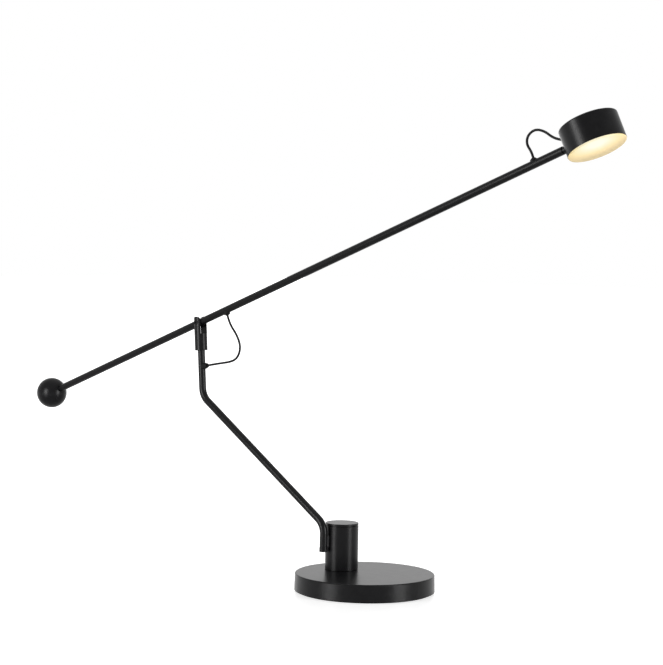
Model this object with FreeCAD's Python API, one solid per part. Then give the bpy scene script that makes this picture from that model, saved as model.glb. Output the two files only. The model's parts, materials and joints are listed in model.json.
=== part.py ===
import FreeCAD, Part
import math
import os
from FreeCAD import Placement, Rotation, Vector

# Counterbalanced desk lamp, millimetres, +Z up.
# Origin: centre of the foot pad's underside. +X: from the base towards the lamp head.

os.makedirs("parts", exist_ok=True)

UP = Vector(0, 0, 1)
DOWN = Vector(0, 0, -1)
AHEAD = Vector(1, 0, 0)
SIDE = Vector(0, 1, 0)

# ---- fits ----
slide_fit = 0.05            # radial clearance of a shaft or plug in its bore
screw_fit = 0.10            # radial clearance of a screw in a through hole
face_gap = 0.05             # running gap between flat faces that turn on each other

# ---- base ----
base_top_radius = 90.0
base_draft = 0.5            # the rim is this much wider at the foot
base_height = 22.0          # metal disc
base_edge = 1.5             # rounding of the top rim
pad_height = 1.5
pad_inset = 3.0             # the pad stays this far inside the rim
cover_rim = 20.0            # solid rim of the disc outside the cover
cover_sheet = 1.2
cover_depth = 1.6           # the cover lies this deep in the underside
cover_ledge = 4.0
hollow_depth = 4.4          # wiring space above the cover
boss_radius = 5.0
boss_inset = 18.0           # screw bosses inside the cover's edge
cover_screw_radius = 1.5
cover_screw_length = 8.0
cover_screw_count = 3
cover_gap = 0.3             # round the cover's rim
hex_key = 2.0               # drive of the M3 and M4 screws, across its flats
hex_key_depth = 1.2

# ---- power inlet ----
inlet_height = 12.3
recess_radius = 5.5
recess_depth = 6.0
jack_radius = 4.2
jack_length = 14.0
jack_flange_radius = 5.2
jack_flange = 1.2
jack_mouth_radius = 3.2
jack_mouth_depth = 9.0
jack_pin_radius = 1.0
jack_nut_height = 1.6
inlet_wall = 4.0            # rim wall between the inlet's flange and its nut
pocket_width = 12.0
pocket_reach = 6.0          # the nut's pocket runs this far into the wiring space
jack_pin_start = 1.5        # pin's tip behind the mouth
jack_nut_wall = 1.3

# ---- post and its swivel ----
post_offset = 41.0          # post axis behind the base's centre
post_radius = 21.5
post_wall = 2.5
post_floor = 6.0
post_height = 61.0          # top of the cap above the base disc
post_lift = 0.5             # slide washer under the post
cap_height = 2.8
cap_seam = 0.8
cap_edge = 0.5
cap_travel = 0.6
cap_skirt_wall = 1.6
cap_skirt_depth = 6.0
cap_skirt_gap = 0.08
cap_stalk_radius = 3.0
stud_radius = 5.0
stud_bore = 3.2
stud_flange_radius = 9.0
stud_flange = 2.4
slide_washer_radius = 12.0
spring_washer_radius = 9.5
spring_washer_height = 1.0
nut_flats = 17.0
nut_height = 5.0
stud_stand = 1.5            # stud above the nut
stop_pin_radius = 1.5
stop_circle = 14.0
stop_pin_sink = 7.0
groove_depth = 3.5
stop_pin_reach = 2.6
groove_play = 0.3
swivel_limit = 160.0

# ---- dimmer parts inside the post ----
pillar_radius = 3.0
pillar_circle = 14.0
pillar_top = 62.0
board_radius = 18.2
board_sheet = 1.6
board_screw_radius = 1.25
board_screw_depth = 7.0
switch_side = 12.0
switch_height = 4.4
plunger_radius = 1.8
plunger_sink = 3.4          # plunger inside the switch
plunger_stand = 2.0         # plunger above the switch
plunger_floor_gap = 0.2     # left under the plunger when it is pressed
coil_radius = 5.0
coil_height = 8.0
coil_flange = 1.5
coil_waist = 1.2
board_slot_depth = 4.5      # cut back where the stem screws' heads stand in
board_slot_half = 4.0
board_screw_play = 0.5      # under the screw's tip
board_screw_head_height = 1.5

# ---- stem ----
tube_radius = 5.0           # stem and arm are the same tube
tube_wall = 1.0
stem_angle = 15.0           # direction from post to stem, turned back from the side
stem_gap = 1.5              # between post and stem
stem_run = 238.0            # from the stem's foot back to the pivot, level
stem_foot = 49.0            # lower end of the tube
stem_low_corner = 83.3
stem_top_run = 101.0        # from the pivot down to the high corner, along the leaning top run
stem_top_lean = 4.1         # top run and fork lean back from upright
stem_bend = 22.0
pivot_height = 335.5
ferrule_wall = 0.3
ferrule_height = 4.4
ferrule_floor = 1.0
ferrule_edge = 0.4
saddle_width = 7.0
saddle_low = 53.8
saddle_high = 69.0
insert_low = 52.0
insert_length = 12.6
stem_screw_heights = (56.3, 62.0)
stem_screw_radius = 1.5
stem_screw_length = 9.0
stem_screw_head = 2.75
stem_screw_head_height = 2.0
stem_screw_key = 2.5
stem_screw_seat = 0.2       # head stands this far inside the post's bore
head_play = 0.25            # radial room round a sunk screw head
head_room = 3.0             # counterbore starts this far inside the bore
thread_play = 1.3           # thread past the screw's tip
wire_hole_height = 66.9
wire_hole_radius = 1.5
lead_radius = 1.3
lead_gap = 0.5              # between a lead's end and the next piece

# ---- fork and pivot ----
fork_radius = 8.7
fork_below = 38.5           # fork's lower end below the pivot
fork_edge = 0.5
socket_depth = 17.5
slot_width = 12.0
slot_below = 15.5
dome_radius = 8.0
pivot_pin_radius = 2.5
pin_head_radius = 3.5
pin_head_sink = 1.5
pin_head_stand = 0.2
pin_socket_radius = 1.25
pin_socket_depth = 1.0
bush_radius = 3.5
washer_radius = 4.5
washer_sheet = 0.28
washer_gap = 0.07           # between each washer and the bush
fork_screw_radius = 2.0
fork_screw_height = 9.0     # above the fork's lower end
fork_screw_sink = 0.6       # below the fork's surface
grub_drive_depth = 1.5
nut_thread_drop = 1.0       # threaded end is this much thinner in radius
nut_thread_length = 1.2

# ---- arm ----
arm_tilt = 20.2             # degrees above level
ball_reach = 340.0          # pivot to the ball's centre
ball_radius = 22.0
ball_socket = 28.0          # depth of the bore that takes the arm
ball_screw_radius = 2.0
ball_screw_length = 8.0
arm_front = 645.3           # pivot to the tube's front end
plug_length = 18.0
collar_length = 2.0
collar_edge = 0.6

# ---- grommets and cords ----
cord_radius = 1.55
grommet_shank = 2.9
grommet_flange = 4.6
grommet_rise = 0.5          # flange above the tube's crest
grommet_saddle = 3.0        # the flange reaches this far down beside the tube
grommet_joint = 0.4         # shank runs this far into the flange
grommet_nose = 2.3
grommet_depth = 1.4         # shank inside the tube
grommet_stand = 2.5         # nose above the tube
rear_grommet_at = 54.0
front_grommet_at = 603.5
stem_grommet_drop = 22.0    # below the fork's lower end
stem_grommet_pitch = 10.0   # way out, above level
stem_grommet_nose = 3.2
stem_grommet_stand = 5.9
pivot_cord_lead = 21.5      # first straight run out of the stem
pivot_cord_rise = 11.5      # last straight run into the arm
# route between those runs, ahead of and above the pivot
pivot_cord_route = ((64.25, -50.5), (75.55, -42.9), (79.45, -29.5), (72.75, -15.0))
# route over the arm in front of its grommet: ahead of it, above the arm's axis
head_cord_route = ((0.0, 15.0), (-4.2, 26.2), (0.7, 35.5), (13.1, 38.4), (25.3, 31.0), (33.5, 20.0))
head_cord_lead = 6.0

# ---- head ----
hinge_at = 658.3            # pivot to the knuckle's pin
head_lean = 5.6             # rest tilt away from square with the arm
barrel_radius = 6.0
barrel_half = 5.0
barrel_neck = 4.0
tilt_pin_radius = 1.5
cheek_gap = 0.25
cheek_wall = 2.6
pocket_gap = 0.4
cheek_front = 2.0           # housing in front of the knuckle's pocket
cheek_below = 0.6           # housing below the barrel
disc_inset = 0.5            # spring washer inside the barrel's rim
spring_disc = 0.8
head_radius = 35.5
head_back = 3.2             # outer wall behind the pin
head_top = 15.6             # outer top above the pin
head_low = -17.2            # shell's lower rim
head_wall = 2.0
head_roof = 2.4
head_edge = 1.8
sink_level = -10.7          # underside of the heat sink plate
sink_sheet = 4.0
sink_gap = 0.5              # between the plate and the shell
fin_count = 6
fin_pitch = 4.6
fin_sheet = 1.4
fin_height = 9.0
fin_length = 34.0
led_board_radius = 28.5
led_board_sheet = 1.2
chip_side = 2.8
chip_height = 0.7
chip_ring_radii = (9.0, 19.5)
chip_ring_counts = (4, 10)
reflector_wall = 0.8
reflector_top_radius = 29.5
sink_screw_radius = 1.5
sink_screw_length = 9.0
sink_screw_circle = 24.0
sink_screw_angles = (0.0, 105.0, -105.0)
sink_boss_radius = 3.6
sink_head_radius = 2.8
sink_head_height = 1.4
fin_shift = 2.0             # fins' near end ahead of centring them on the drum
fin_trim = 8.0
fin_root = 0.5              # fins start this far inside the plate
diffuser_inset = 0.4        # inside the shell's outer wall
diffuser_drop = 1.8         # below the shell's rim
diffuser_edge = 1.1
skirt_gap = 0.25
skirt_wall = 1.4
skirt_joint = 0.4           # skirt runs this far into the face
rim_gap = 0.2               # between the shell's rim and the opal face
reflector_gap = 0.1
reflector_lift = 0.2        # reflector's lower rim above the shell's rim
relief_level = 9.9          # head cord's entry above the pin
relief_pitch = 31.4
relief_radius = 1.9
relief_flange = 2.4
relief_stand = 1.9
relief_depth = 3.2
relief_sink = 1.5           # flange's wide end inside the wall

# ---- what follows from the sizes ----
base_top = pad_height + base_height
cover_radius = base_top_radius - cover_rim
boss_circle = cover_radius - boss_inset
post_low = base_top + post_lift
shell_top = base_top + post_height - cap_height - cap_seam
post_bore = post_radius - post_wall
post_x = -post_offset
stem_distance = post_radius + stem_gap + tube_radius
stem_x = post_x - stem_distance * math.sin(math.radians(stem_angle))
arm_y = -stem_distance * math.cos(math.radians(stem_angle))
pivot_x = stem_x - stem_run
stem_grommet_below = fork_below + stem_grommet_drop
tube_bore = tube_radius - tube_wall
ceiling = pad_height + cover_depth + hollow_depth
board_low = pillar_top
board_top = board_low + board_sheet
bush_half = slot_width / 2 - washer_sheet - washer_gap
drum_x = head_radius - head_back
head_bore = head_radius - head_wall
sink_radius = head_bore - sink_gap
diffuser_radius = head_radius - diffuser_inset

pivot_spot = Vector(pivot_x, arm_y, pivot_height)
fork_place = Placement(pivot_spot, Rotation(SIDE, -stem_top_lean))
arm_place = Placement(pivot_spot, Rotation(SIDE, -arm_tilt))
head_place = arm_place * Placement(Vector(hinge_at, 0, 0), Rotation(SIDE, -head_lean))
post_place = Placement(Vector(post_x, 0, 0), Rotation(UP, 0))
# in this frame +X points from the post's axis to the stem's foot
foot_turn = math.degrees(math.atan2(arm_y, stem_x - post_x))
foot_place = Placement(Vector(post_x, 0, 0), Rotation(UP, foot_turn))


# ---- small makers ----
def rod(radius, start, direction, length):
    return Part.makeCylinder(radius, length, start, direction)


def ring(outer, inner, start, direction, length):
    overrun = 1.0
    hole = rod(inner, start - direction * overrun, direction, length + 2 * overrun)
    return rod(outer, start, direction, length).cut(hole)


def block(x_low, x_high, y_low, y_high, z_low, z_high):
    corner = Vector(x_low, y_low, z_low)
    return Part.makeBox(x_high - x_low, y_high - y_low, z_high - z_low, corner)


def turned(outline, centre=Vector(0, 0, 0)):
    """A solid turned about the upright line through centre; outline holds (radius, height) pairs."""
    points = [Vector(radius, 0, height) for radius, height in outline]
    face = Part.Face(Part.makePolygon(points + points[:1]))
    solid = face.revolve(Vector(0, 0, 0), UP, 360)
    solid.translate(centre)
    return solid


def hexagon(flats, start, direction, length):
    """A hexagonal prism, measured across its flats."""
    reach = flats / math.sqrt(3)
    corners = []
    for step in range(6):
        turn = math.radians(60 * step)
        corners.append(Vector(reach * math.cos(turn), reach * math.sin(turn), 0))
    prism = Part.Face(Part.makePolygon(corners + corners[:1])).extrude(Vector(0, 0, length))
    prism.Placement = Placement(start, Rotation(UP, direction))
    return prism


def joined(shapes):
    whole = shapes[0].fuse(list(shapes[1:]))
    return whole.removeSplitter()


def fillet_where(shape, radius, chosen):
    edges = [edge for edge in shape.Edges if chosen(edge)]
    return shape.makeFillet(radius, edges)


def around(angle, radius, height=0.0):
    turn = math.radians(angle)
    return Vector(radius * math.cos(turn), radius * math.sin(turn), height)


def rounded_path(points, radii):
    """Straight runs joined by tangent arcs: one radius for each inner point."""
    edges = []
    start = points[0]
    for index, radius in enumerate(radii, start=1):
        corner = points[index]
        toward = (corner - points[index - 1]).normalize()
        away = (points[index + 1] - corner).normalize()
        half_turn = toward.getAngle(away) / 2
        reach = radius * math.tan(half_turn)
        first = corner - toward * reach
        last = corner + away * reach
        middle_way = (away - toward).normalize()
        middle = corner + middle_way * (radius / math.cos(half_turn) - radius)
        edges.append(Part.LineSegment(start, first).toShape())
        edges.append(Part.Arc(first, middle, last).toShape())
        start = last
    edges.append(Part.LineSegment(start, points[-1]).toShape())
    return Part.Wire(edges)


def tube_along(path, radius, start, direction):
    section = Part.Wire([Part.makeCircle(radius, start, direction)])
    return path.makePipeShell([section], True, False)


def cord(name, points):
    """A free cord. Each arc is 0.45 of the shorter run beside it over the tangent of half its turn."""
    radii = []
    for index in range(1, len(points) - 1):
        toward = points[index] - points[index - 1]
        away = points[index + 1] - points[index]
        shorter = min(toward.Length, away.Length)
        radii.append(0.45 * shorter / math.tan(toward.getAngle(away) / 2))
    path = rounded_path(points, radii)
    solid = tube_along(path, cord_radius, points[0], points[1] - points[0])
    print(name, "radii", [round(radius, 1) for radius in radii])
    expected = math.pi * cord_radius ** 2 * path.Length
    print(name, "length", round(path.Length, 1), "volume share", round(solid.Volume / expected, 4))
    return solid


def write(name, shape, place=None):
    """One sub-part to its own file, set into the lamp's frame."""
    if place is not None:
        shape = shape.copy()
        shape.Placement = place.multiply(shape.Placement)
    shape.exportStep("parts/" + name + ".step")
    print(name, "solids", len(shape.Solids), "valid", shape.isValid(), "volume", round(shape.Volume, 1))


# ---- base ----
def cover_screw_spots():
    step = 360.0 / cover_screw_count
    return [around(step * number, boss_circle) for number in range(cover_screw_count)]


def base_disc():
    foot_radius = base_top_radius + base_draft
    low = pad_height
    disc = turned([(0, low), (foot_radius, low), (base_top_radius, base_top), (0, base_top)])
    disc = fillet_where(disc, base_edge, lambda edge: abs(edge.BoundBox.ZMin - base_top) < 0.01)
    hollow = rod(cover_radius, Vector(0, 0, low), UP, cover_depth)
    hollow = hollow.fuse(rod(cover_radius - cover_ledge, Vector(0, 0, low), UP, ceiling - low))
    disc = disc.cut(hollow)
    bosses = []
    for spot in cover_screw_spots():
        bosses.append(rod(boss_radius, spot + UP * (low + cover_depth), UP, ceiling - low - cover_depth + 1))
    disc = disc.fuse(bosses)
    for spot in cover_screw_spots():
        disc = disc.cut(rod(cover_screw_radius + slide_fit, spot + UP * low, UP, cover_screw_length + 1))
    disc = disc.cut(rod(stud_radius + slide_fit, Vector(post_x, 0, 0), UP, base_top + 1))
    pin_spot = Vector(post_x - stop_circle, 0, base_top - stop_pin_sink)
    disc = disc.cut(rod(stop_pin_radius, pin_spot, UP, stop_pin_sink + 1))
    rim = Vector(-foot_radius - 1, 0, inlet_height)
    disc = disc.cut(rod(recess_radius, rim, AHEAD, recess_depth + 1 + base_draft))
    disc = disc.cut(rod(jack_radius + slide_fit, rim, AHEAD, recess_depth + jack_length))
    # pocket for the nut, open to the underside and to the wiring space
    pocket_end = -(cover_radius - cover_ledge - pocket_reach)
    half = pocket_width / 2
    pocket = block(inlet_wall_x(), pocket_end, -half, half, low - 1, inlet_height + half)
    return disc.cut(pocket).removeSplitter()


def base_cover():
    low = pad_height + cover_depth - cover_sheet
    cover = rod(cover_radius - cover_gap, Vector(0, 0, low), UP, cover_sheet)
    for spot in cover_screw_spots():
        cover = cover.cut(countersunk(spot + UP * low, UP, screw_fit))
    return cover


def countersunk(start, direction, extra):
    """Head cone and shank of a countersunk screw as deep as the cover, or with some extra its hole."""
    shank = cover_screw_radius + extra
    cone = Part.makeCone(shank + cover_sheet, shank, cover_sheet, start, direction)
    return cone.fuse(rod(shank, start, direction, cover_screw_length))


def cover_screws():
    low = pad_height + cover_depth - cover_sheet
    screws = []
    for spot in cover_screw_spots():
        screw = countersunk(spot + UP * low, UP, 0.0)
        drive = hexagon(hex_key, spot + UP * low, UP, hex_key_depth)
        screws.append(screw.cut(drive))
    return Part.makeCompound(screws)


def foot_pad():
    return rod(base_top_radius - pad_inset, Vector(0, 0, 0), UP, pad_height)


def inlet_wall_x():
    return -base_top_radius + recess_depth + inlet_wall


def power_inlet():
    mouth_x = -base_top_radius + recess_depth
    body = rod(jack_radius, Vector(mouth_x, 0, inlet_height), AHEAD, jack_length)
    flange = rod(jack_flange_radius, Vector(mouth_x - jack_flange, 0, inlet_height), AHEAD, jack_flange)
    mouth_start = Vector(mouth_x - jack_flange, 0, inlet_height)
    mouth = rod(jack_mouth_radius, mouth_start, AHEAD, jack_mouth_depth)
    pin = rod(jack_pin_radius, mouth_start + AHEAD * jack_pin_start, AHEAD, jack_mouth_depth)
    return joined([body.fuse(flange).cut(mouth), pin])


def inlet_nut():
    start = Vector(inlet_wall_x(), 0, inlet_height)
    return ring(jack_radius + jack_nut_wall, jack_radius + slide_fit, start, AHEAD, jack_nut_height)


# ---- swivel ----
def swivel_stud():
    top = nut_low() + nut_height + stud_stand
    start = Vector(post_x, 0, ceiling)
    shank = rod(stud_radius, start, UP, top - ceiling)
    flange = rod(stud_flange_radius, start - UP * stud_flange, UP, stud_flange)
    bore = rod(stud_bore, start - UP * (stud_flange + 1), UP, top - ceiling + stud_flange + 2)
    return joined([shank, flange]).cut(bore)


def nut_low():
    return post_low + post_floor + face_gap + spring_washer_height


def swivel_slide_washer():
    thickness = post_lift - face_gap
    return ring(slide_washer_radius, stud_radius + slide_fit, Vector(post_x, 0, base_top), UP, thickness)


def swivel_spring_washer():
    start = Vector(post_x, 0, post_low + post_floor + face_gap)
    return ring(spring_washer_radius, stud_radius + slide_fit, start, UP, spring_washer_height)


def swivel_nut():
    start = Vector(post_x, 0, nut_low())
    nut = hexagon(nut_flats, start, UP, nut_height)
    return nut.cut(rod(stud_radius + slide_fit, start - UP, UP, nut_height + 2))


def swivel_stop_pin():
    start = Vector(post_x - stop_circle, 0, base_top - stop_pin_sink)
    return rod(stop_pin_radius, start, UP, stop_pin_sink + post_lift + stop_pin_reach)


# ---- post ----
def stop_groove():
    """Arc groove in the post's floor that the stop pin runs in."""
    half_width = stop_pin_radius + groove_play
    depth_start = post_low - 1
    depth = groove_depth + 1
    full = ring(stop_circle + half_width, stop_circle - half_width, Vector(0, 0, depth_start), UP, depth)
    # the web left at +X ends the swivel on both sides; the ends are round
    web_half = 180 - swivel_limit
    wedge_start = Vector(0, 0, depth_start)
    wedge = Part.makeCylinder(stop_circle + half_width + 1, depth, wedge_start, UP, 2 * web_half)
    wedge.rotate(Vector(0, 0, 0), UP, -web_half)
    groove = full.cut(wedge)
    for side in (1, -1):
        groove = groove.fuse(rod(half_width, around(side * web_half, stop_circle, depth_start), UP, depth))
    return groove


def pillar_spots():
    return [around(foot_turn + turn, -pillar_circle) for turn in (0, 120, -120)]


def post_shell():
    shell = turned([(0, post_low), (post_radius, post_low), (post_radius, shell_top), (0, shell_top)])
    room = rod(post_bore, Vector(0, 0, post_low + post_floor), UP, shell_top)
    shell = shell.cut(room)
    pillars = []
    for spot in pillar_spots():
        foot = post_low + post_floor
        pillars.append(rod(pillar_radius, spot + UP * (foot - 1), UP, pillar_top - foot + 1))
    shell = shell.fuse(pillars)
    for spot in pillar_spots():
        start = spot + UP * (pillar_top - board_screw_depth)
        shell = shell.cut(rod(board_screw_radius + slide_fit, start, UP, board_screw_depth + 1))
    shell = shell.cut(rod(stud_radius + slide_fit, Vector(0, 0, post_low - 1), UP, post_floor + 2))
    shell = shell.cut(stop_groove())
    toward_stem = around(foot_turn, 1.0)
    for height in stem_screw_heights:
        seat = toward_stem * (post_bore - head_room) + UP * height
        depth = head_room + stem_screw_seat
        shell = shell.cut(rod(stem_screw_head + head_play, seat, toward_stem, depth))
        shell = shell.cut(rod(stem_screw_radius + screw_fit, seat, toward_stem, post_wall + head_room + 1))
    wire_start = toward_stem * (post_bore - head_room) + UP * wire_hole_height
    shell = shell.cut(rod(wire_hole_radius, wire_start, toward_stem, post_wall + head_room + 1))
    return shell.removeSplitter()


def press_cap():
    low = shell_top + cap_seam
    cap = rod(post_radius, Vector(0, 0, low), UP, cap_height)
    cap = fillet_where(cap, cap_edge, lambda edge: abs(edge.BoundBox.ZMin - low - cap_height) < 0.01)
    skirt_radius = post_bore - cap_skirt_gap
    skirt_start = Vector(0, 0, low - cap_skirt_depth)
    skirt = ring(skirt_radius, skirt_radius - cap_skirt_wall, skirt_start, UP, cap_skirt_depth)
    stalk_low = board_top + switch_height + plunger_stand
    stalk = rod(cap_stalk_radius, Vector(0, 0, stalk_low), UP, low - stalk_low)
    return joined([cap, skirt, stalk])


def switch_plunger():
    top = board_top + switch_height + plunger_stand
    low = board_top + switch_height - plunger_sink + cap_travel
    return rod(plunger_radius, Vector(0, 0, low), UP, top - low)


def switch_body():
    half = switch_side / 2
    body = block(-half, half, -half, half, board_top, board_top + switch_height)
    hole_start = Vector(0, 0, board_top + switch_height - plunger_sink - plunger_floor_gap)
    return body.cut(rod(plunger_radius + slide_fit, hole_start, UP, plunger_sink + 1))


def dimmer_board():
    board = rod(board_radius, Vector(0, 0, board_low), UP, board_sheet)
    for spot in pillar_spots():
        hole = rod(board_screw_radius + screw_fit, spot + UP * (board_low - 1), UP, board_sheet + 2)
        board = board.cut(hole)
    half = board_slot_half
    slot = block(post_bore - board_slot_depth, post_bore + 1, -half, half, board_low - 1, board_top + 1)
    slot.rotate(Vector(0, 0, 0), UP, foot_turn)
    return board.cut(slot)


def board_screws():
    screws = []
    for spot in pillar_spots():
        shank_low = pillar_top - board_screw_depth + board_screw_play
        shank = rod(board_screw_radius, spot + UP * shank_low, UP, board_top - shank_low)
        head = rod(2 * board_screw_radius, spot + UP * board_top, UP, board_screw_head_height)
        screws.append(joined([shank, head]))
    return Part.makeCompound(screws)


def choke_coil():
    start = UP * (board_low - coil_height)
    outer = rod(coil_radius, start, UP, coil_height)
    waist_start = start + UP * coil_flange
    waist = ring(coil_radius + 1, coil_radius - coil_waist, waist_start, UP, coil_height - 2 * coil_flange)
    return outer.cut(waist)


# ---- stem ----
def below_pivot(distance):
    """A spot on the stem's leaning top run."""
    return fork_place.multVec(DOWN * distance)


def stem_path(low_end, top_end, offset=0.0):
    """The stem's centreline from a height on its foot to a distance below the pivot.

    An offset gives the line beside it, on the side away from the head.
    """
    low = Vector(stem_x, arm_y, stem_low_corner)
    high = below_pivot(stem_top_run)
    ways = [UP, (high - low).normalize(), fork_place.Rotation.multVec(UP)]
    sides = [way.cross(SIDE) for way in ways]
    corners = []
    for corner, before, after in ((low, sides[0], sides[1]), (high, sides[1], sides[2])):
        corners.append(corner + (before + after) * (offset / (1 + before.dot(after))))
    start = Vector(stem_x, arm_y, low_end) + sides[0] * offset
    end = below_pivot(top_end) + sides[2] * offset
    path = rounded_path([start] + corners + [end], [stem_bend - offset, stem_bend + offset])
    return path, start


def stem_tube():
    path, foot = stem_path(stem_foot, fork_below - socket_depth)
    tube = tube_along(path, tube_radius, foot, UP).cut(tube_along(path, tube_bore, foot, UP))
    toward_post = around(foot_turn, -1.0)
    for height in stem_screw_heights:
        start = Vector(stem_x, arm_y, height)
        tube = tube.cut(rod(stem_screw_radius + screw_fit, start, toward_post, tube_radius + 1))
    wire_start = Vector(stem_x, arm_y, wire_hole_height)
    tube = tube.cut(rod(wire_hole_radius, wire_start, toward_post, tube_radius + 1))
    hole_start = below_pivot(stem_grommet_below)
    return tube.cut(rod(grommet_shank + slide_fit, hole_start, stem_grommet_way(), tube_radius + 2))


def stem_ferrule():
    outer_radius = tube_radius + slide_fit + ferrule_wall
    start = Vector(stem_x, arm_y, stem_foot - ferrule_floor)
    cup = rod(outer_radius, start, UP, ferrule_floor + ferrule_height)
    cup = fillet_where(cup, ferrule_edge, lambda edge: abs(edge.BoundBox.ZMax - start.z) < 0.01)
    return cup.cut(rod(tube_radius + slide_fit, start + UP * ferrule_floor, UP, ferrule_height + 1))


def stem_saddle():
    """Block between post and stem, hollowed on both sides to fit them."""
    half = saddle_width / 2
    saddle = block(post_radius - 1, stem_distance, -half, half, saddle_low, saddle_high)
    saddle = saddle.cut(rod(post_radius + slide_fit, Vector(0, 0, saddle_low - 1), UP, saddle_high))
    stem_low = Vector(stem_distance, 0, saddle_low - 1)
    saddle = saddle.cut(rod(tube_radius + slide_fit, stem_low, UP, saddle_high))
    for height in stem_screw_heights:
        saddle = saddle.cut(rod(stem_screw_radius + screw_fit, Vector(0, 0, height), AHEAD, stem_distance))
    return saddle.cut(rod(wire_hole_radius, Vector(0, 0, wire_hole_height), AHEAD, stem_distance))


def stem_insert():
    """Threaded bar in the stem's lower end."""
    bar = rod(tube_bore - slide_fit, Vector(stem_distance, 0, insert_low), UP, insert_length)
    thread_length = stem_screw_seat + stem_screw_length + thread_play
    for height in stem_screw_heights:
        start = Vector(post_bore, 0, height)
        bar = bar.cut(rod(stem_screw_radius + slide_fit, start, AHEAD, thread_length))
    return bar


def stem_screws():
    screws = []
    seat = post_bore + stem_screw_seat
    for height in stem_screw_heights:
        start = Vector(seat, 0, height)
        head = rod(stem_screw_head, start - AHEAD * stem_screw_head_height, AHEAD, stem_screw_head_height)
        drive = hexagon(stem_screw_key, start - AHEAD * stem_screw_head_height, AHEAD, hex_key_depth)
        shank = rod(stem_screw_radius, start, AHEAD, stem_screw_length)
        screws.append(joined([head.cut(drive), shank]))
    return Part.makeCompound(screws)


def stem_lead():
    """Lead inside the stem, lying on the lower side of the bore."""
    offset = tube_bore - lead_radius - slide_fit
    low_end = insert_low + insert_length + lead_gap
    top_end = stem_grommet_below + grommet_shank + lead_gap
    path, start = stem_path(low_end, top_end, offset)
    return tube_along(path, lead_radius, start, UP)


def stem_grommet_way():
    pitch = math.radians(stem_grommet_pitch)
    return Vector(math.cos(pitch), 0, math.sin(pitch))


def grommet(stand, nose_radius, pitch=0.0):
    """Cord grommet along +Z in the side of a tube that lies along X, its nose at tube_radius + stand.

    With a pitch the tube's axis rises above +X by that many degrees.
    """
    inside = tube_bore - grommet_depth
    shank = rod(grommet_shank, Vector(0, 0, inside), UP, tube_radius - inside + grommet_joint)
    flange_low = tube_radius - grommet_saddle
    sleeve_start = tube_radius + grommet_rise
    top = tube_radius + stand
    outline = [(0, flange_low), (grommet_flange, flange_low), (grommet_flange, sleeve_start)]
    outline += [(nose_radius, top), (0, top)]
    flange = turned(outline)
    tube_way = Rotation(SIDE, -pitch).multVec(AHEAD)
    reach = 4 * tube_radius
    flange = flange.cut(rod(tube_radius + slide_fit, tube_way * -reach, tube_way, 2 * reach))
    return joined([flange, shank])


def stem_grommet():
    piece = grommet(stem_grommet_stand, stem_grommet_nose, stem_grommet_pitch - stem_top_lean)
    way = stem_grommet_way()
    # turn the grommet's X upwards and its Z to the way out
    turn = Rotation(UP, SIDE, way, "ZXY")
    piece.Placement = Placement(below_pivot(stem_grommet_below), turn)
    return piece


# ---- fork and pivot ----
def stem_fork():
    low = -fork_below
    bar = rod(fork_radius, Vector(0, 0, low), UP, fork_below + dome_radius + 2)
    bar = fillet_where(bar, fork_edge, lambda edge: abs(edge.BoundBox.ZMax - low) < 0.01)
    reach = fork_radius + 2
    dome = rod(dome_radius, Vector(0, -reach, 0), SIDE, 2 * reach)
    shoulders = block(-reach, reach, -reach, reach, low - 1, 0)
    bar = bar.common(joined([dome, shoulders]))
    bar = bar.cut(rod(tube_radius + slide_fit, Vector(0, 0, low - 1), UP, socket_depth + 1 + face_gap))
    half = slot_width / 2
    bar = bar.cut(block(-reach, reach, -half, half, -slot_below, dome_radius + 3))
    bar = bar.cut(rod(pivot_pin_radius, Vector(0, -reach, 0), SIDE, 2 * reach))
    for side in (1, -1):
        seat = Vector(0, side * (fork_radius - pin_head_sink), 0)
        bar = bar.cut(rod(pin_head_radius + slide_fit, seat, SIDE * side, pin_head_sink + 1))
    screw_spot = Vector(0, 0, low + fork_screw_height)
    bar = bar.cut(rod(fork_screw_radius + slide_fit, screw_spot, SIDE, reach))
    return bar


def fork_grub_screw():
    start = Vector(0, tube_radius + slide_fit, -fork_below + fork_screw_height)
    length = fork_radius - tube_radius - fork_screw_sink
    screw = rod(fork_screw_radius, start, SIDE, length)
    return screw.cut(hexagon(hex_key, start + SIDE * (length - grub_drive_depth), SIDE, grub_drive_depth + 1))


def pivot_pin():
    """Pin with a flush head in the near ear and a reduced threaded end in the far ear."""
    seat = fork_radius - pin_head_sink
    head_height = pin_head_sink + pin_head_stand
    head = rod(pin_head_radius, Vector(0, -seat, 0), SIDE * -1, head_height)
    shank = rod(pivot_pin_radius, Vector(0, -seat, 0), SIDE, 2 * seat)
    end = rod(pivot_pin_radius - nut_thread_drop, Vector(0, seat, 0), SIDE, nut_thread_length)
    pin = joined([head, shank, end])
    drive_start = Vector(0, -seat - head_height, 0)
    return pin.cut(hexagon(2 * pin_socket_radius, drive_start, SIDE, pin_socket_depth))


def pivot_nut():
    seat = fork_radius - pin_head_sink
    nut = rod(pin_head_radius, Vector(0, seat, 0), SIDE, pin_head_sink + pin_head_stand)
    bore = pivot_pin_radius - nut_thread_drop + slide_fit
    nut = nut.cut(rod(bore, Vector(0, seat - 1, 0), SIDE, 1 + nut_thread_length + slide_fit))
    return nut


def friction_washer(side):
    start = Vector(0, side * slot_width / 2, 0)
    return ring(washer_radius, pivot_pin_radius + slide_fit, start, SIDE * -side, washer_sheet)


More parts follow.
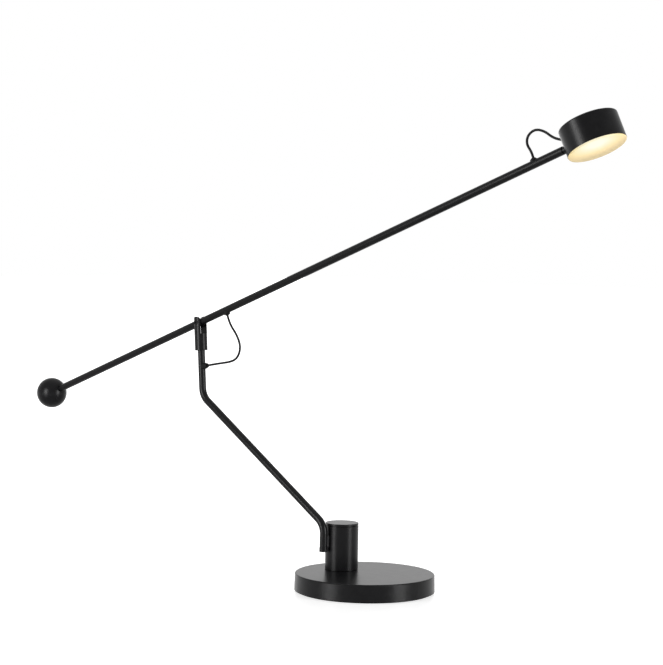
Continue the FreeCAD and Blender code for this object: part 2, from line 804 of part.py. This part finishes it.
# ---- arm, in its own frame: +X to the head, origin at the pivot ----
def arm_tube():
    back_end = -ball_reach - (ball_socket - ball_radius)
    tube = ring(tube_radius, tube_bore, Vector(back_end, 0, 0), AHEAD, arm_front - back_end)
    tube = tube.cut(rod(bush_radius + slide_fit, Vector(0, -tube_radius - 1, 0), SIDE, 2 * tube_radius + 2))
    hole = grommet_shank + slide_fit
    tube = tube.cut(rod(hole, Vector(rear_grommet_at, 0, 0), DOWN, tube_radius + 1))
    return tube.cut(rod(hole, Vector(front_grommet_at, 0, 0), UP, tube_radius + 1))


def pivot_bush():
    return ring(bush_radius, pivot_pin_radius + slide_fit, Vector(0, -bush_half, 0), SIDE, 2 * bush_half)


def arm_lead():
    start = rear_grommet_at + grommet_shank + lead_gap
    length = front_grommet_at - start
    level = -(tube_bore - lead_radius - slide_fit)
    return rod(lead_radius, Vector(start, 0, level), AHEAD, length)


def rear_grommet():
    piece = grommet(grommet_stand, grommet_nose)
    piece.Placement = Placement(Vector(rear_grommet_at, 0, 0), Rotation(AHEAD, 180))
    return piece


def front_grommet():
    piece = grommet(grommet_stand, grommet_nose)
    piece.Placement = Placement(Vector(front_grommet_at, 0, 0), Rotation(UP, 0))
    return piece


def counterweight_ball():
    centre = Vector(-ball_reach, 0, 0)
    ball = Part.makeSphere(ball_radius, centre)
    socket_end = Vector(-ball_reach + ball_radius - ball_socket, 0, 0)
    ball = ball.cut(rod(tube_radius + slide_fit, socket_end, AHEAD, ball_socket + 1))
    return ball.cut(rod(ball_screw_radius + slide_fit, centre, DOWN, ball_radius + 1))


def ball_grub_screw():
    start = Vector(-ball_reach, 0, -tube_radius - slide_fit)
    screw = rod(ball_screw_radius, start, DOWN, ball_screw_length)
    drive_start = start + DOWN * (ball_screw_length - grub_drive_depth)
    return screw.cut(hexagon(hex_key, drive_start, DOWN, grub_drive_depth + 1))


def tilt_knuckle():
    """Plug in the arm's front end, with the barrel that the head tilts on."""
    plug = rod(tube_bore - slide_fit, Vector(arm_front - plug_length, 0, 0), AHEAD, plug_length + 1)
    collar = rod(tube_radius, Vector(arm_front, 0, 0), AHEAD, collar_length)
    collar_end = arm_front + collar_length
    collar = fillet_where(collar, collar_edge, lambda edge: abs(edge.BoundBox.XMin - collar_end) < 0.01)
    neck = rod(barrel_neck, Vector(arm_front, 0, 0), AHEAD, hinge_at - arm_front)
    barrel_length = 2 * barrel_half - spring_disc
    barrel = rod(barrel_radius, Vector(hinge_at, -barrel_half, 0), SIDE, barrel_length)
    bore_start = Vector(hinge_at, -barrel_half - 1, 0)
    bore = rod(tilt_pin_radius + slide_fit, bore_start, SIDE, 2 * barrel_half + 2)
    return joined([plug, collar, neck, barrel]).cut(bore)


# ---- head, in its own frame: origin on the knuckle's pin, +Z square with the diffuser ----
def sink_screw_spots():
    return [Vector(drum_x, 0, 0) + around(angle, sink_screw_circle) for angle in sink_screw_angles]


def head_shell():
    outer = rod(head_radius, Vector(drum_x, 0, head_low), UP, head_top - head_low)
    outer = fillet_where(outer, head_edge, lambda edge: abs(edge.BoundBox.ZMin - head_top) < 0.01)
    room_height = head_top - head_roof - head_low
    room = rod(head_bore, Vector(drum_x, 0, head_low), UP, room_height)
    # housing for the knuckle: two cheeks and a back, carried by wall and roof
    inner = barrel_half + cheek_gap
    cheek_out = inner + cheek_wall
    cheek_reach = barrel_radius + pocket_gap + cheek_front
    cheek_low = -barrel_radius - cheek_below
    housing = block(-head_back - 1, cheek_reach, -cheek_out, cheek_out, cheek_low, head_top - 1)
    housing = housing.common(outer)
    bosses = []
    for spot in sink_screw_spots():
        boss_low = sink_level + sink_sheet
        bosses.append(rod(sink_boss_radius, spot + UP * boss_low, UP, head_top - 1 - boss_low))
    shell = outer.cut(room).fuse([housing] + bosses)
    pocket_radius = barrel_radius + pocket_gap
    pocket = rod(pocket_radius, Vector(0, -inner, 0), SIDE, 2 * inner)
    mouth = block(-head_back - 3, 0, -inner, inner, -pocket_radius, pocket_radius)
    below = block(-pocket_radius, pocket_radius, -inner, inner, cheek_low - 1, 0)
    shell = shell.cut([pocket, mouth, below])
    shell = shell.cut(rod(tilt_pin_radius, Vector(0, -cheek_out - 1, 0), SIDE, 2 * cheek_out + 2))
    for spot in sink_screw_spots():
        start = spot + UP * (sink_level + sink_sheet - 1)
        shell = shell.cut(rod(sink_screw_radius + slide_fit, start, UP, sink_screw_length))
    relief = rod(relief_radius + slide_fit, relief_nose(), relief_way() * -1, relief_stand + relief_depth + 2)
    return shell.cut(relief).removeSplitter()


def relief_way():
    pitch = math.radians(relief_pitch)
    return Vector(-math.cos(pitch), 0, math.sin(pitch))


def relief_nose():
    return Vector(-head_back, 0, relief_level) + relief_way() * relief_stand


def cord_relief():
    """Strain relief of the head cord, set slanting in the head's wall."""
    way = relief_way()
    nose = relief_nose()
    shank = rod(relief_radius, nose, way * -1, relief_stand + relief_depth)
    flange_length = relief_stand + relief_sink
    flange = Part.makeCone(relief_flange, relief_radius, flange_length, nose - way * flange_length, way)
    drum = rod(head_radius + slide_fit, Vector(drum_x, 0, head_low), UP, 2 * head_radius)
    return joined([flange.cut(drum), shank])


def tilt_pin():
    half = barrel_half + cheek_gap + cheek_wall
    return rod(tilt_pin_radius, Vector(0, -half, 0), SIDE, 2 * half)


def tilt_spring_washer():
    start = Vector(0, barrel_half + cheek_gap, 0)
    thickness = spring_disc + cheek_gap - face_gap
    return ring(barrel_radius - disc_inset, tilt_pin_radius + slide_fit, start, SIDE * -1, thickness)


def heat_sink():
    plate = rod(sink_radius, Vector(drum_x, 0, sink_level), UP, sink_sheet)
    fins = []
    for number in range(fin_count):
        centre = (number - (fin_count - 1) / 2) * fin_pitch
        fin_start = drum_x - fin_length / 2 + fin_shift
        fin_top = sink_level + sink_sheet + fin_height
        fins.append(block(fin_start, fin_start + fin_length - fin_trim, centre - fin_sheet / 2,
                          centre + fin_sheet / 2, sink_level + fin_root, fin_top))
    plate = joined([plate] + fins)
    for spot in sink_screw_spots():
        plate = plate.cut(rod(sink_screw_radius + screw_fit, spot + UP * (sink_level - 1), UP, sink_sheet + 2))
    return plate


def sink_screws():
    """Screws that hold board and heat sink to the shell's bosses."""
    screws = []
    seat = sink_level - led_board_sheet
    for spot in sink_screw_spots():
        head = rod(sink_head_radius, spot + UP * (seat - sink_head_height), UP, sink_head_height)
        shank = rod(sink_screw_radius, spot + UP * seat, UP, sink_screw_length)
        screws.append(joined([head, shank]))
    return Part.makeCompound(screws)


def light_board():
    low = sink_level - led_board_sheet
    board = rod(led_board_radius, Vector(drum_x, 0, low), UP, led_board_sheet)
    for spot in sink_screw_spots():
        board = board.cut(rod(sink_screw_radius + screw_fit, spot + UP * (low - 1), UP, led_board_sheet + 2))
    return board


def light_chips():
    high = sink_level - led_board_sheet
    half = chip_side / 2
    chips = []
    for radius, count in zip(chip_ring_radii, chip_ring_counts):
        for number in range(count):
            spot = Vector(drum_x, 0, 0) + around(360.0 / count * (number + 0.5), radius)
            chips.append(block(spot.x - half, spot.x + half, spot.y - half, spot.y + half,
                               high - chip_height, high))
    return Part.makeCompound(chips)


def reflector():
    """White cone between the light board's rim and the diffuser's skirt."""
    high = sink_level
    low = head_low + reflector_lift
    wide = skirt_inner()
    gap = reflector_gap
    outline = [(reflector_top_radius, high), (wide - gap, low), (wide - gap - reflector_wall, low)]
    outline += [(reflector_top_radius - reflector_wall, high)]
    return turned(outline, Vector(drum_x, 0, 0))


def skirt_inner():
    return head_bore - skirt_gap - skirt_wall


def diffuser():
    """Opal cup: a rounded face under the rim and a skirt that snaps into the shell."""
    low = head_low - diffuser_drop
    disc_top = head_low - rim_gap
    outline = [(0, low), (diffuser_radius, low), (diffuser_radius, disc_top), (0, disc_top)]
    disc = turned(outline)
    disc = fillet_where(disc, diffuser_edge, lambda edge: abs(edge.BoundBox.ZMax - low) < 0.01)
    skirt_outer = head_bore - skirt_gap
    skirt_start = Vector(0, 0, disc_top - skirt_joint)
    skirt = ring(skirt_outer, skirt_inner(), skirt_start, UP, sink_level - disc_top + skirt_joint)
    piece = joined([disc, skirt])
    piece.translate(Vector(drum_x, 0, 0))
    return piece


# ---- cords, in the arm's plane; points chosen by hand ----
def on_arm(along, above):
    return arm_place.multVec(Vector(along, 0, above))


def pivot_cord():
    way = stem_grommet_way()
    nose = below_pivot(stem_grommet_below) + way * (tube_radius + stem_grommet_stand)
    exit_low = on_arm(rear_grommet_at, -tube_radius - grommet_stand)
    lead_in = on_arm(rear_grommet_at, -tube_radius - grommet_stand - pivot_cord_rise)
    middle = [pivot_spot + Vector(ahead, 0, above) for ahead, above in pivot_cord_route]
    return cord("pivot_cord", [nose, nose + way * pivot_cord_lead] + middle + [lead_in, exit_low])


def head_cord():
    start = on_arm(front_grommet_at, tube_radius + grommet_stand)
    middle = [on_arm(front_grommet_at + ahead, above) for ahead, above in head_cord_route]
    nose = head_place.multVec(relief_nose())
    out = head_place.multVec(relief_nose() + relief_way() * head_cord_lead)
    return cord("head_cord", [start] + middle + [out, nose])


# ---- write every piece ----
write("base_disc", base_disc())
write("base_cover", base_cover())
write("cover_screws", cover_screws())
write("foot_pad", foot_pad())
write("power_inlet", power_inlet())
write("inlet_nut", inlet_nut())
write("swivel_stud", swivel_stud())
write("swivel_slide_washer", swivel_slide_washer())
write("swivel_spring_washer", swivel_spring_washer())
write("swivel_nut", swivel_nut())
write("swivel_stop_pin", swivel_stop_pin())

write("post_shell", post_shell(), post_place)
write("dimmer_board", dimmer_board(), post_place)
write("board_screws", board_screws(), post_place)
write("switch_body", switch_body(), post_place)
write("choke_coil", choke_coil(), post_place)
write("press_cap", press_cap(), post_place)
write("switch_plunger", switch_plunger(), post_place)

write("stem_tube", stem_tube())
write("stem_ferrule", stem_ferrule())
write("stem_saddle", stem_saddle(), foot_place)
write("stem_insert", stem_insert(), foot_place)
write("stem_screws", stem_screws(), foot_place)
write("stem_lead", stem_lead())
write("stem_grommet", stem_grommet())

write("stem_fork", stem_fork(), fork_place)
write("fork_grub_screw", fork_grub_screw(), fork_place)
write("pivot_pin", pivot_pin(), fork_place)
write("pivot_nut", pivot_nut(), fork_place)
write("friction_washer_near", friction_washer(-1), fork_place)
write("friction_washer_far", friction_washer(1), fork_place)

write("arm_tube", arm_tube(), arm_place)
write("pivot_bush", pivot_bush(), arm_place)
write("arm_lead", arm_lead(), arm_place)
write("rear_grommet", rear_grommet(), arm_place)
write("front_grommet", front_grommet(), arm_place)
write("counterweight_ball", counterweight_ball(), arm_place)
write("ball_grub_screw", ball_grub_screw(), arm_place)
write("tilt_knuckle", tilt_knuckle(), arm_place)

write("head_shell", head_shell(), head_place)
write("cord_relief", cord_relief(), head_place)
write("tilt_pin", tilt_pin(), head_place)
write("tilt_spring_washer", tilt_spring_washer(), head_place)
write("heat_sink", heat_sink(), head_place)
write("sink_screws", sink_screws(), head_place)
write("light_board", light_board(), head_place)
write("light_chips", light_chips(), head_place)
write("reflector", reflector(), head_place)
write("diffuser", diffuser(), head_place)

write("pivot_cord", pivot_cord())
write("head_cord", head_cord())
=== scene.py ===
import bpy
import json
import math
from mathutils import Matrix, Vector


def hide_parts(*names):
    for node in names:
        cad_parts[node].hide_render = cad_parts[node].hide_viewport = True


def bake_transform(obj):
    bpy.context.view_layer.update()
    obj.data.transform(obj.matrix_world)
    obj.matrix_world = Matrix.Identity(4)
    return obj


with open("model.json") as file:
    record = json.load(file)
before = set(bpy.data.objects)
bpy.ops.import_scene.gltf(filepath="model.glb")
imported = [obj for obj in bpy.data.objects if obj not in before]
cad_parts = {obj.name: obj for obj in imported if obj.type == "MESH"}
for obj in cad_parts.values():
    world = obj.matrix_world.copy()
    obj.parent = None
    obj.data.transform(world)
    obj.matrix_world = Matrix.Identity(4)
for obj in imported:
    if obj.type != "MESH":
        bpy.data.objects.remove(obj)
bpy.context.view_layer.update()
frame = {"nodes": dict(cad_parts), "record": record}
nodes = frame["nodes"]
print("lamp frame loaded:", len(nodes), "pieces")


# camera, as it stood for the photograph, in the lamp's own frame
cameraSpot = {
    "place": (1.679368, -1.871289, 0.451205),
    "right": (0.73072634, 0.68246411, 0.0167853),
    "up": (-0.04438055, 0.02295462, 0.99875095),
    "forward": (-0.68122638, 0.73055857, -0.04706167),
    "lens": 106.38,        # mm
    "sensor": 36.0,        # mm high
    "farEnd": 50.0,
}


def setCamera(spot):
    data = bpy.data.cameras.new("studioCamera")
    data.sensor_fit = "VERTICAL"
    data.sensor_height = spot["sensor"]
    data.lens = spot["lens"]
    data.clip_end = spot["farEnd"]
    camera = bpy.data.objects.new("studioCamera", data)
    right, up, forward = (Vector(spot[key]) for key in ("right", "up", "forward"))
    turn = Matrix((right, up, -forward)).transposed().to_4x4()
    camera.matrix_world = Matrix.Translation(Vector(spot["place"])) @ turn
    bpy.context.collection.objects.link(camera)
    bpy.context.scene.camera = camera


setCamera(cameraSpot)
print("camera set")


# cords: control points in metres, the same route as the solid ones
pivotCord = {
    "points": [
        (-0.27119, -0.02705, 0.27705), (-0.25001, -0.02705, 0.28078), (-0.22200, -0.02705, 0.28500),
        (-0.21070, -0.02705, 0.29260), (-0.20680, -0.02705, 0.30600), (-0.21350, -0.02705, 0.32050),
        (-0.22901, -0.02705, 0.33631), (-0.23298, -0.02705, 0.34711),
    ],
    "length": 0.1255,
    "from": "post",
    "to": "arm",
}
headCord = {
    "points": [
        (0.27754, -0.02705, 0.55093), (0.27495, -0.02705, 0.55796), (0.26715, -0.02705, 0.56703),
        (0.26853, -0.02705, 0.57745), (0.27917, -0.02705, 0.58445), (0.29317, -0.02705, 0.58172),
        (0.30467, -0.02705, 0.57422), (0.31651, -0.02705, 0.57110), (0.32248, -0.02705, 0.57052),
    ],
    "length": 0.0869,
    "from": "arm",
    "to": "head",
}
cordDiameter = 0.0031
cordLook = {"order": 3, "steps": 14, "roundness": 5}


def cordLine(name, points, thickness):
    curve = bpy.data.curves.new(name, "CURVE")
    curve.dimensions = "3D"
    curve.bevel_depth = thickness / 2
    curve.bevel_resolution = cordLook["roundness"]
    curve.use_fill_caps = thickness > 0
    spline = curve.splines.new("NURBS")
    spline.points.add(len(points) - 1)
    for target, place in zip(spline.points, points):
        target.co = (*place, 1.0)
    spline.order_u = cordLook["order"]
    spline.use_endpoint_u = True
    spline.resolution_u = cordLook["steps"]
    line = bpy.data.objects.new(name, curve)
    bpy.context.collection.objects.link(line)
    bpy.context.view_layer.update()
    mesh = bpy.data.meshes.new_from_object(line.evaluated_get(bpy.context.evaluated_depsgraph_get()))
    bpy.data.objects.remove(line)
    return mesh


def makeCord(name, node, cord):
    route = [vertex.co.copy() for vertex in cordLine(name + "Route", cord["points"], 0).vertices]
    piece = bpy.data.objects.new(name, cordLine(name, cord["points"], cordDiameter))
    bpy.context.collection.objects.link(piece)
    for face in piece.data.polygons:
        face.use_smooth = True
    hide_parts(node)
    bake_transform(piece)
    return piece


cordPieces = [makeCord("pivotCord", "pivot_cord", pivotCord), makeCord("headCord", "head_cord", headCord)]
print("cords laid")


# materials
def linear(hexColour):
    parts = [int(hexColour[index:index + 2], 16) / 255 for index in (1, 3, 5)]
    levels = [part / 12.92 if part <= 0.04045 else ((part + 0.055) / 1.055) ** 2.4 for part in parts]
    return (*levels, 1.0)


def perMetre(millimetres):
    return 1000.0 / millimetres


def addNode(tree, kind, settings=None, links=None):
    node = tree.nodes.new(kind)
    for key, value in (settings or {}).items():
        if key in node.inputs:
            node.inputs[key].default_value = value
        else:
            setattr(node, key, value)
    for socket, source in (links or {}).items():
        tree.links.new(source, node.inputs[socket])
    return node


def newMaterial(name):
    material = bpy.data.materials.new(name)
    material.use_nodes = True
    tree = material.node_tree
    tree.nodes.clear()
    place = addNode(tree, "ShaderNodeTexCoord").outputs["Object"]
    return material, tree, place


mottle = {"detail": 3.0, "turns": (0.35, 0.65)}    # where the noise leaves one tone and reaches the other


# two tones of one colour, and a roughness, that follow one soft noise
def mottled(tree, place, look):
    noise = addNode(tree, "ShaderNodeTexNoise", {"Scale": perMetre(look["patch"]), "Detail": mottle["detail"]},
                    {"Vector": place})
    ramp = addNode(tree, "ShaderNodeValToRGB", links={"Fac": noise.outputs["Fac"]})
    for stop, position, tone in zip(ramp.color_ramp.elements, mottle["turns"], look["tones"]):
        stop.position = position
        stop.color = linear(tone)
    smoothest, roughest = look["roughness"]
    rough = addNode(tree, "ShaderNodeMapRange", {"To Min": smoothest, "To Max": roughest},
                    {"Value": noise.outputs["Fac"]})
    return ramp.outputs["Color"], rough.outputs["Result"]


# bare metals: patch in mm, depth in metres
# zinc-plated steel, turned or stamped: bright grey with a faint crystal mottle
platedSteel = {"tones": ("#a9acae", "#c3c5c6"), "patch": 0.9, "roughness": (0.24, 0.38), "depth": 0.00002}
# aluminium alloy, milled and left bare: pale grey with feed lines
milledAluminium = {"tones": ("#bfc1c3", "#d2d4d5"), "patch": 0.6, "roughness": (0.30, 0.44), "depth": 0.00003}
# free-cutting brass, turned: warm yellow with fine rings
turnedBrass = {"tones": ("#b58f45", "#cfaa5c"), "patch": 0.5, "roughness": (0.22, 0.36), "depth": 0.00002}
toolLines = {"size": 1.2, "waver": 1.5, "strength": 0.35}    # mm; the real ones are too fine to show


def bareMetalMaterial(name, look):
    material, tree, place = newMaterial(name)
    colour, rough = mottled(tree, place, look)
    lines = addNode(tree, "ShaderNodeTexWave",
                    {"Scale": perMetre(toolLines["size"]), "Distortion": toolLines["waver"],
                     "bands_direction": "DIAGONAL"},
                    {"Vector": place})
    bump = addNode(tree, "ShaderNodeBump", {"Strength": toolLines["strength"], "Distance": look["depth"]},
                   {"Height": lines.outputs["Fac"]})
    shader = addNode(tree, "ShaderNodeBsdfPrincipled", {"Metallic": 1.0},
                     {"Base Color": colour, "Roughness": rough, "Normal": bump.outputs["Normal"]})
    addNode(tree, "ShaderNodeOutputMaterial", links={"Surface": shader.outputs[0]})
    return material


# coats, rubbers, plastics and boards: patch and grain in mm, depth in metres, sheen as specular level
# polyester powder coat, baked matte: a fine orange peel breaks up every highlight, and matting keeps it low
powderCoat = {
    "tones": ("#080809", "#0c0c0d"),
    "patch": 9.0,
    "grain": 1.3,           # the real peel is about 0.4, too fine to show
    "detail": 2.0,
    "depth": 0.00004,
    "roughness": (0.28, 0.32),
    "index": 1.5,
    "sheen": 0.10,
}
# nitrile rubber, moulded: dull black with a soft bloom
mouldedRubber = {
    "tones": ("#0a0a0b", "#0f0f10"), "patch": 4.0, "grain": 1.0, "detail": 3.0, "depth": 0.00005,
    "roughness": (0.62, 0.80), "index": 1.52, "sheen": 0.10,
}
# soft PVC sheath, extruded: black with a low sheen and faint ripples from the die
extrudedSheath = {
    "tones": ("#080809", "#0c0c0d"), "patch": 3.2, "grain": 0.8, "detail": 3.0, "depth": 0.00002,
    "roughness": (0.42, 0.55), "index": 1.53, "sheen": 0.10,
}
# glass-filled nylon, moulded: black with a fine spark texture
mouldedNylon = {
    "tones": ("#141415", "#1b1b1c"), "patch": 2.8, "grain": 0.7, "detail": 3.0, "depth": 0.00004,
    "roughness": (0.48, 0.62), "index": 1.53, "sheen": 0.5,
}
# white acetal, moulded: clean, slightly waxy
mouldedWhite = {
    "tones": ("#e4e3dd", "#f0efe9"), "patch": 6.0, "grain": 1.5, "detail": 3.0, "depth": 0.00002,
    "roughness": (0.32, 0.44), "index": 1.48, "sheen": 0.5,
}
# woven glass laminate under green solder resist: the weave shows as a faint mottle
greenLaminate = {
    "tones": ("#15532b", "#1c6a38"), "patch": 5.2, "grain": 1.3, "detail": 3.0, "depth": 0.00004,
    "roughness": (0.28, 0.42), "index": 1.55, "sheen": 0.5,
}
# white solder resist over a metal core: clean white, low sheen
whiteResist = {
    "tones": ("#e7e8e8", "#f1f2f2"), "patch": 8.0, "grain": 2.0, "detail": 3.0, "depth": 0.00002,
    "roughness": (0.36, 0.46), "index": 1.5, "sheen": 0.5,
}
# silicone filled with phosphor: flat egg yellow
phosphorGel = {
    "tones": ("#d9b02c", "#e6c242"), "patch": 1.6, "grain": 0.4, "detail": 3.0, "depth": 0.00002,
    "roughness": (0.44, 0.58), "index": 1.41, "sheen": 0.5,
}
# enamelled copper wire wound on ferrite: brown, with a grain one wire wide
enamelledCopper = {
    "tones": ("#6d3a1a", "#8c5228"), "patch": 2.0, "grain": 0.5, "detail": 3.0, "depth": 0.0001,
    "roughness": (0.26, 0.40), "index": 1.6, "sheen": 0.5,
}
grainStrength = 0.5


def grainyMaterial(name, look):
    material, tree, place = newMaterial(name)
    colour, rough = mottled(tree, place, look)
    grain = addNode(tree, "ShaderNodeTexNoise", {"Scale": perMetre(look["grain"]), "Detail": look["detail"]},
                    {"Vector": place})
    bump = addNode(tree, "ShaderNodeBump", {"Strength": grainStrength, "Distance": look["depth"]},
                   {"Height": grain.outputs["Fac"]})
    shader = addNode(tree, "ShaderNodeBsdfPrincipled",
                     {"IOR": look["index"], "Specular IOR Level": look["sheen"]},
                     {"Base Color": colour, "Roughness": rough, "Normal": bump.outputs["Normal"]})
    addNode(tree, "ShaderNodeOutputMaterial", links={"Surface": shader.outputs[0]})
    return material


# opal acrylic, moulded: lit from behind, near white at its brightest spot, then cream, then peach at the far rim
opalAcrylic = {
    "brightSpot": (0.3780, -0.0435, 0.5642),   # on the lit face, in metres
    "reach": 0.0456,
    "glow": ((0.20, "#b0bbba"), (0.50, "#afa785"), (0.66, "#ac9860"), (0.81, "#957b46"), (0.97, "#6f5a22")),
    "glowStrength": 1.0,
    "unlit": "#9d9070",
    "roughness": 0.35,
    "index": 1.49,
    "sheen": 0.25,
    "cloud": 6.0,           # mm
    "cloudDetail": 2.0,
    "cloudStrength": 0.1,
    "cloudDepth": 0.0001,
}


def opalMaterial(name, look):
    material, tree, place = newMaterial(name)
    offset = addNode(tree, "ShaderNodeVectorMath", {"operation": "DISTANCE"}, {0: place})
    offset.inputs[1].default_value = look["brightSpot"]
    share = addNode(tree, "ShaderNodeMapRange", {"From Max": look["reach"]}, {"Value": offset.outputs["Value"]})
    ramp = addNode(tree, "ShaderNodeValToRGB", links={"Fac": share.outputs["Result"]})
    stops = ramp.color_ramp.elements
    for step in look["glow"][1:-1]:
        stops.new(step[0])
    for stop, (position, hexColour) in zip(stops, look["glow"]):
        stop.position = position
        stop.color = linear(hexColour)
    cloud = addNode(tree, "ShaderNodeTexNoise", {"Scale": perMetre(look["cloud"]), "Detail": look["cloudDetail"]},
                    {"Vector": place})
    bump = addNode(tree, "ShaderNodeBump", {"Strength": look["cloudStrength"], "Distance": look["cloudDepth"]},
                   {"Height": cloud.outputs["Fac"]})
    shader = addNode(tree, "ShaderNodeBsdfPrincipled",
                     {"IOR": look["index"], "Roughness": look["roughness"], "Emission Strength": look["glowStrength"],
                      "Specular IOR Level": look["sheen"], "Base Color": linear(look["unlit"])},
                     {"Emission Color": ramp.outputs["Color"], "Normal": bump.outputs["Normal"]})
    addNode(tree, "ShaderNodeOutputMaterial", links={"Surface": shader.outputs[0]})
    return material


blackCoat = grainyMaterial("matte black powder coat", powderCoat)
finishes = {
    "coated_steel": blackCoat,
    "coated_aluminium": blackCoat,
    "bright_steel": bareMetalMaterial("zinc-plated steel, turned", platedSteel),
    "bare_aluminium": bareMetalMaterial("bare aluminium, milled", milledAluminium),
    "brass": bareMetalMaterial("free-cutting brass, turned", turnedBrass),
    "black_rubber": grainyMaterial("nitrile rubber, moulded", mouldedRubber),
    "cord_sheath": grainyMaterial("soft PVC sheath, extruded", extrudedSheath),
    "black_plastic": grainyMaterial("glass-filled nylon, moulded", mouldedNylon),
    "white_plastic": grainyMaterial("white acetal, moulded", mouldedWhite),
    "opal_plastic": opalMaterial("opal acrylic, lit from behind", opalAcrylic),
    "board": grainyMaterial("green glass laminate", greenLaminate),
    "white_board": grainyMaterial("white resist on a metal core", whiteResist),
    "chip_yellow": grainyMaterial("phosphor gel", phosphorGel),
    "copper_coil": grainyMaterial("enamelled copper winding", enamelledCopper),
}
for entry in frame["record"]["subparts"]:
    piece = nodes[entry["node"]]
    piece.data.materials.clear()
    piece.data.materials.append(finishes[entry["material_slot"]])
for piece in cordPieces:
    piece.data.materials.append(finishes["cord_sheath"])
print("finishes on", len(nodes), "pieces")


# studio: satin white floor, white surround, a softbox on each side, one behind and one overhead
studio = {
    "white": (1.0, 1.0, 1.0, 1.0),
    "surround": 0.08,         # the surround's own light; straight views of it see full white
    "floorSize": 30.0,
    "floorDrop": 0.0004,      # keeps the floor clear of the foot pad's face
    "floorColour": "#f4f4f4",
    "floorGloss": 0.3,        # roughness of its satin coat
    "floorIndex": 1.45,
    "shadowShare": 0.30,      # how much of the floor's own light and shade shows near the lamp
    "shadowNear": 0.15,
    "shadowFar": 0.9,
    "sides": {"turn": 58.0, "away": 1.9, "width": 0.62, "height": 1.1, "level": 0.58, "watts": 42.0},
    "back": {"turn": 180.0, "away": 2.4, "width": 3.4, "height": 0.8, "level": 0.55, "watts": 4.0},
    "overhead": {"level": 1.9, "width": 2.2, "watts": 7.0},
}


# 1 for a ray from the camera, off a shiny surface or through a clear one, and 0 for the rest
def straightViews(tree):
    rays = addNode(tree, "ShaderNodeLightPath")
    seen = addNode(tree, "ShaderNodeMath", {"operation": "MAXIMUM"},
                   {0: rays.outputs["Is Camera Ray"], 1: rays.outputs["Is Glossy Ray"]})
    seenThrough = addNode(tree, "ShaderNodeMath", {"operation": "MAXIMUM"},
                          {0: seen.outputs[0], 1: rays.outputs["Is Transmission Ray"]})
    return seenThrough.outputs[0]


def whiteWorld(look):
    world = bpy.data.worlds.new("whiteSurround")
    world.use_nodes = True
    tree = world.node_tree
    tree.nodes.clear()
    level = addNode(tree, "ShaderNodeMapRange", {"To Min": look["surround"], "To Max": 1.0},
                    {"Value": straightViews(tree)})
    backdrop = addNode(tree, "ShaderNodeBackground", {"Color": look["white"]}, {"Strength": level.outputs["Result"]})
    addNode(tree, "ShaderNodeOutputWorld", links={"Surface": backdrop.outputs[0]})
    bpy.context.scene.world = world


def paleFloor(look):
    half = look["floorSize"] / 2
    corners = [(-half, -half, 0), (half, -half, 0), (half, half, 0), (-half, half, 0)]
    mesh = bpy.data.meshes.new("paleFloor")
    mesh.from_pydata(corners, [], [(0, 1, 2, 3)])
    floor = bpy.data.objects.new("paleFloor", mesh)
    bpy.context.collection.objects.link(floor)
    floor.location.z = -look["floorDrop"]
    material, tree, place = newMaterial("pale floor paint")
    own = addNode(tree, "ShaderNodeBsdfDiffuse", {"Color": linear(look["floorColour"])})
    white = addNode(tree, "ShaderNodeEmission", {"Color": look["white"], "Strength": 1.0})
    away = addNode(tree, "ShaderNodeVectorMath", {"operation": "LENGTH"}, {0: place})
    share = addNode(tree, "ShaderNodeMapRange",
                    {"From Min": look["shadowNear"], "From Max": look["shadowFar"],
                     "To Min": 1.0 - look["shadowShare"], "To Max": 1.0},
                    {"Value": away.outputs["Value"]})
    factor = addNode(tree, "ShaderNodeMath", {"operation": "MULTIPLY"},
                     {0: straightViews(tree), 1: share.outputs["Result"]})
    both = addNode(tree, "ShaderNodeMixShader",
                   links={"Fac": factor.outputs[0], 1: own.outputs[0], 2: white.outputs[0]})
    coat = addNode(tree, "ShaderNodeFresnel", {"IOR": look["floorIndex"]})
    satin = addNode(tree, "ShaderNodeBsdfGlossy", {"Roughness": look["floorGloss"]}, {"Color": coat.outputs[0]})
    shader = addNode(tree, "ShaderNodeAddShader", links={0: both.outputs[0], 1: satin.outputs[0]})
    addNode(tree, "ShaderNodeOutputMaterial", links={"Surface": shader.outputs[0]})
    mesh.materials.append(material)


def softLight(name, place, aim, width, height, watts):
    data = bpy.data.lights.new(name, "AREA")
    data.shape = "RECTANGLE"
    data.size = width
    data.size_y = height
    data.energy = watts
    lamp = bpy.data.objects.new(name, data)
    lamp.location = place
    lamp.rotation_euler = (Vector(aim) - Vector(place)).to_track_quat("-Z", "Y").to_euler()
    bpy.context.collection.objects.link(lamp)


def studioLights(look):
    toCamera = math.atan2(-cameraSpot["forward"][1], -cameraSpot["forward"][0])
    for name, box, side in (("leftBox", "sides", -1), ("rightBox", "sides", 1), ("backBox", "back", 1)):
        light = look[box]
        turn = toCamera + side * math.radians(light["turn"])
        place = (light["away"] * math.cos(turn), light["away"] * math.sin(turn), light["level"])
        softLight(name, place, (0, 0, light["level"]), light["width"], light["height"], light["watts"])
    overhead = look["overhead"]
    softLight("overheadBox", (0, 0, overhead["level"]), (0, 0, 0),
              overhead["width"], overhead["width"], overhead["watts"])


whiteWorld(studio)
paleFloor(studio)
studioLights(studio)
bpy.context.scene.view_settings.view_transform = "Standard"
print("studio lit")
